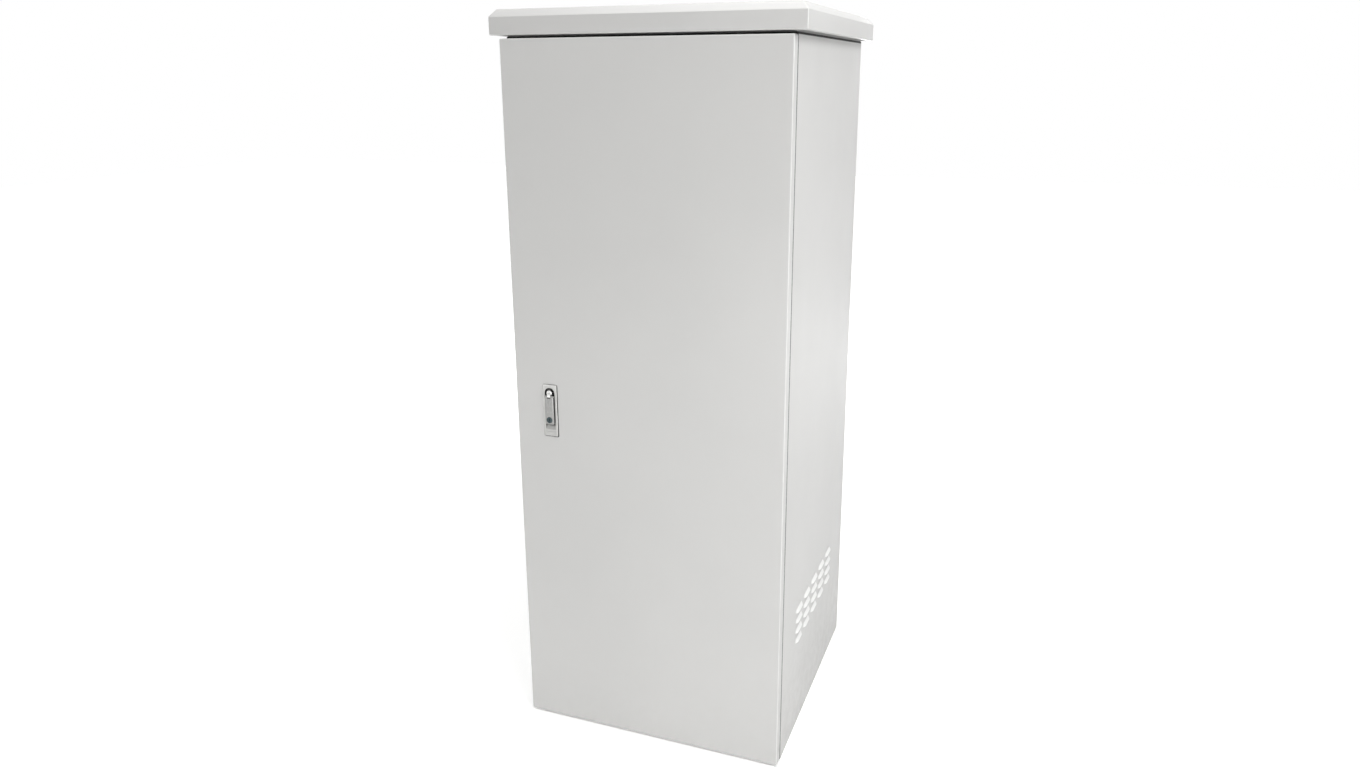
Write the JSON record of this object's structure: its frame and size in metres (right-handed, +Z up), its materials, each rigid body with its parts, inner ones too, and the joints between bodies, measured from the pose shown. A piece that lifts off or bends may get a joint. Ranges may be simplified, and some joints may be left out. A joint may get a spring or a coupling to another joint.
{
  "type": "roadside utility cabinet",
  "caption": "Tall outdoor cabinet of folded, powder-coated sheet: one hinged door with a swing-handle rod lock, pressed side louvres, an overhanging roof and an equipment rack.",
  "frame": {"origin": "centre of the body's footprint, on the ground, without the door's thickness", "axes": "+Z up; the door faces -Y; the door's hinges are on the +X side and its lock on the -X side"},
  "size_m": [0.701, 0.6884, 1.7106],
  "materials": {
    "painted_sheet": "light grey polyester powder coat, satin with a fine texture",
    "zinc_sheet": "galvanised sheet with a faint spangle",
    "hinge_steel": "zinc-plated steel",
    "fastener_steel": "bright zinc-plated steel",
    "lock_casting": "die-cast zinc, satin chrome plated",
    "lock_pin_steel": "ground steel",
    "key_face": "dark blue-green, smooth",
    "gear_casting": "die-cast zinc, as cast",
    "bar_steel": "zinc-plated flat steel",
    "guide_plastic": "black moulded nylon",
    "filter_frame": "dark grey moulded plastic",
    "filter_fleece": "white filter fleece",
    "seal_foam": "black foamed-in-place seal",
    "grommet_rubber": "black rubber membrane grommet"
  },
  "bodies": {
    "cabinet": {"side_panel_left": "painted_sheet", "side_panel_right": "painted_sheet", "rear_panel": "painted_sheet", "front_header": "painted_sheet", "front_sill": "painted_sheet", "roof_canopy": "painted_sheet", "base_pan": "painted_sheet", "roof_carrier": "painted_sheet", "gland_plate": "zinc_sheet", "vent_guards": "zinc_sheet", "roof_channel_left": "zinc_sheet", "roof_channel_right": "zinc_sheet", "depth_support_lower_left": "zinc_sheet", "depth_support_lower_right": "zinc_sheet", "depth_support_middle_left": "zinc_sheet", "depth_support_middle_right": "zinc_sheet", "depth_support_upper_left": "zinc_sheet", "depth_support_upper_right": "zinc_sheet", "rack_rail_front_left": "zinc_sheet", "rack_rail_front_right": "zinc_sheet", "rack_rail_rear_left": "zinc_sheet", "rack_rail_rear_right": "zinc_sheet", "hinge_strap_lower": "hinge_steel", "hinge_strap_middle": "hinge_steel", "hinge_strap_upper": "hinge_steel", "gland_screws": "fastener_steel", "rear_panel_nuts": "fastener_steel", "roof_bolts": "fastener_steel", "rail_bolts": "fastener_steel", "hinge_pins": "fastener_steel", "filter_holder_left": "filter_frame", "filter_holder_right": "filter_frame", "filter_mat_left": "filter_fleece", "filter_mat_right": "filter_fleece", "cable_grommets": "grommet_rubber"},
    "door": {"door_panel": "painted_sheet", "door_seal": "seal_foam", "door_stiffener_left": "painted_sheet", "door_stiffener_right": "painted_sheet", "hinge_leaf_lower": "hinge_steel", "hinge_leaf_middle": "hinge_steel", "hinge_leaf_upper": "hinge_steel", "lock_dish": "lock_casting", "lock_gearbox": "gear_casting", "gearbox_cover": "gear_casting", "lock_screws": "fastener_steel", "bar_guides": "guide_plastic"},
    "spindle": {"lock_spindle": "lock_casting", "lock_pinion": "bar_steel", "pinion_screw": "fastener_steel", "lever_pin": "lock_pin_steel"},
    "lever": {"lock_lever": "lock_casting", "key_barrel": "lock_casting"},
    "key": {"key_plug": "key_face", "key_cam": "lock_pin_steel"},
    "upper_bar": {"locking_bar_upper": "bar_steel"},
    "lower_bar": {"locking_bar_lower": "bar_steel"}
  },
  "joints": [
    {"name": "door_hinge", "type": "hinge", "parent": "cabinet", "child": "door", "pos_m": [0.317, -0.33, 0.825], "axis": [0, 0, 1], "range_deg": [0, 110]},
    {"name": "lock_turn", "type": "hinge", "parent": "door", "child": "spindle", "pos_m": [-0.237, -0.33, 0.8655], "axis": [0, -1, 0], "range_deg": [0, 90]},
    {"name": "lever_lift", "type": "hinge", "parent": "spindle", "child": "lever", "pos_m": [-0.237, -0.35235, 0.8575], "axis": [-1, 0, 0], "range_deg": [0, 35]},
    {"name": "key_turn", "type": "hinge", "parent": "lever", "child": "key", "pos_m": [-0.237, -0.354, 0.801], "axis": [0, -1, 0], "range_deg": [0, 90]},
    {"name": "upper_bar_slide", "type": "slide", "parent": "door", "child": "upper_bar", "axis": [0, 0, 1], "range_m": [-0.02, 0]},
    {"name": "lower_bar_slide", "type": "slide", "parent": "door", "child": "lower_bar", "axis": [0, 0, 1], "range_m": [0, 0.02]}
  ],
  "couplings": [
    {"joint": "upper_bar_slide", "follows": "lock_turn", "m_per_rad": -0.0125},
    {"joint": "lower_bar_slide", "follows": "lock_turn", "m_per_rad": 0.0125}
  ]
}
